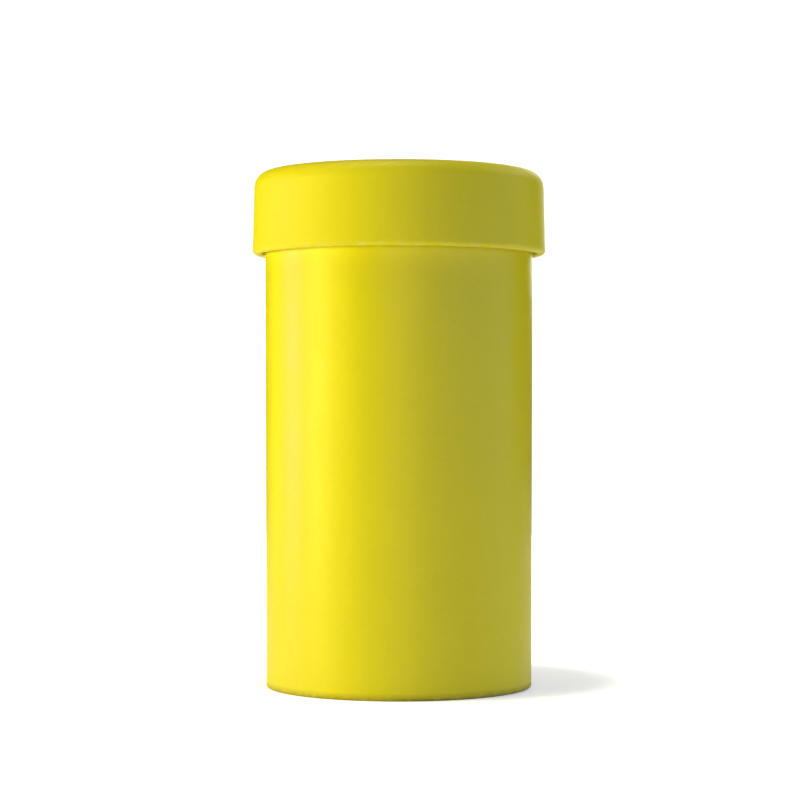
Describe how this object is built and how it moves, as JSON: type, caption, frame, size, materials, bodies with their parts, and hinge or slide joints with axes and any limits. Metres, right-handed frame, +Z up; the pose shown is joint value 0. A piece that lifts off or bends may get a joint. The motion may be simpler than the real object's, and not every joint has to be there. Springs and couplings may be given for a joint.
{
  "type": "storage canister",
  "caption": "Round plastic storage canister with a straight wall and an overhanging smooth screw lid that turns and rises off a threaded neck.",
  "frame": {"origin": "centre of the flat ring that the canister stands on", "axes": "+Z up through the lid, along the canister's axis of symmetry; X and Y are level and equal"},
  "size_m": [0.0788, 0.0788, 0.1385],
  "materials": {
    "canister_plastic": "fine matte moulded polypropylene",
    "lid_plastic": "fine matte moulded polypropylene",
    "seal_rubber": "soft matte translucent white elastomer"
  },
  "bodies": {
    "canister": {"canister_body": "canister_plastic"},
    "seal": {"seal_ring": "seal_rubber"},
    "lid": {"lid": "lid_plastic"}
  },
  "joints": [
    {"name": "lid_lift", "type": "slide", "parent": "canister", "child": "seal", "axis": [0, 0, 1], "range_m": [0, 0.024]},
    {"name": "lid_turn", "type": "hinge", "parent": "seal", "child": "lid", "pos_m": [0, 0, 0.1382], "axis": [0, 0, 1], "range_deg": [0, 540]}
  ],
  "couplings": [
    {"joint": "lid_lift", "follows": "lid_turn", "m_per_rad": 0.0025465}
  ]
}
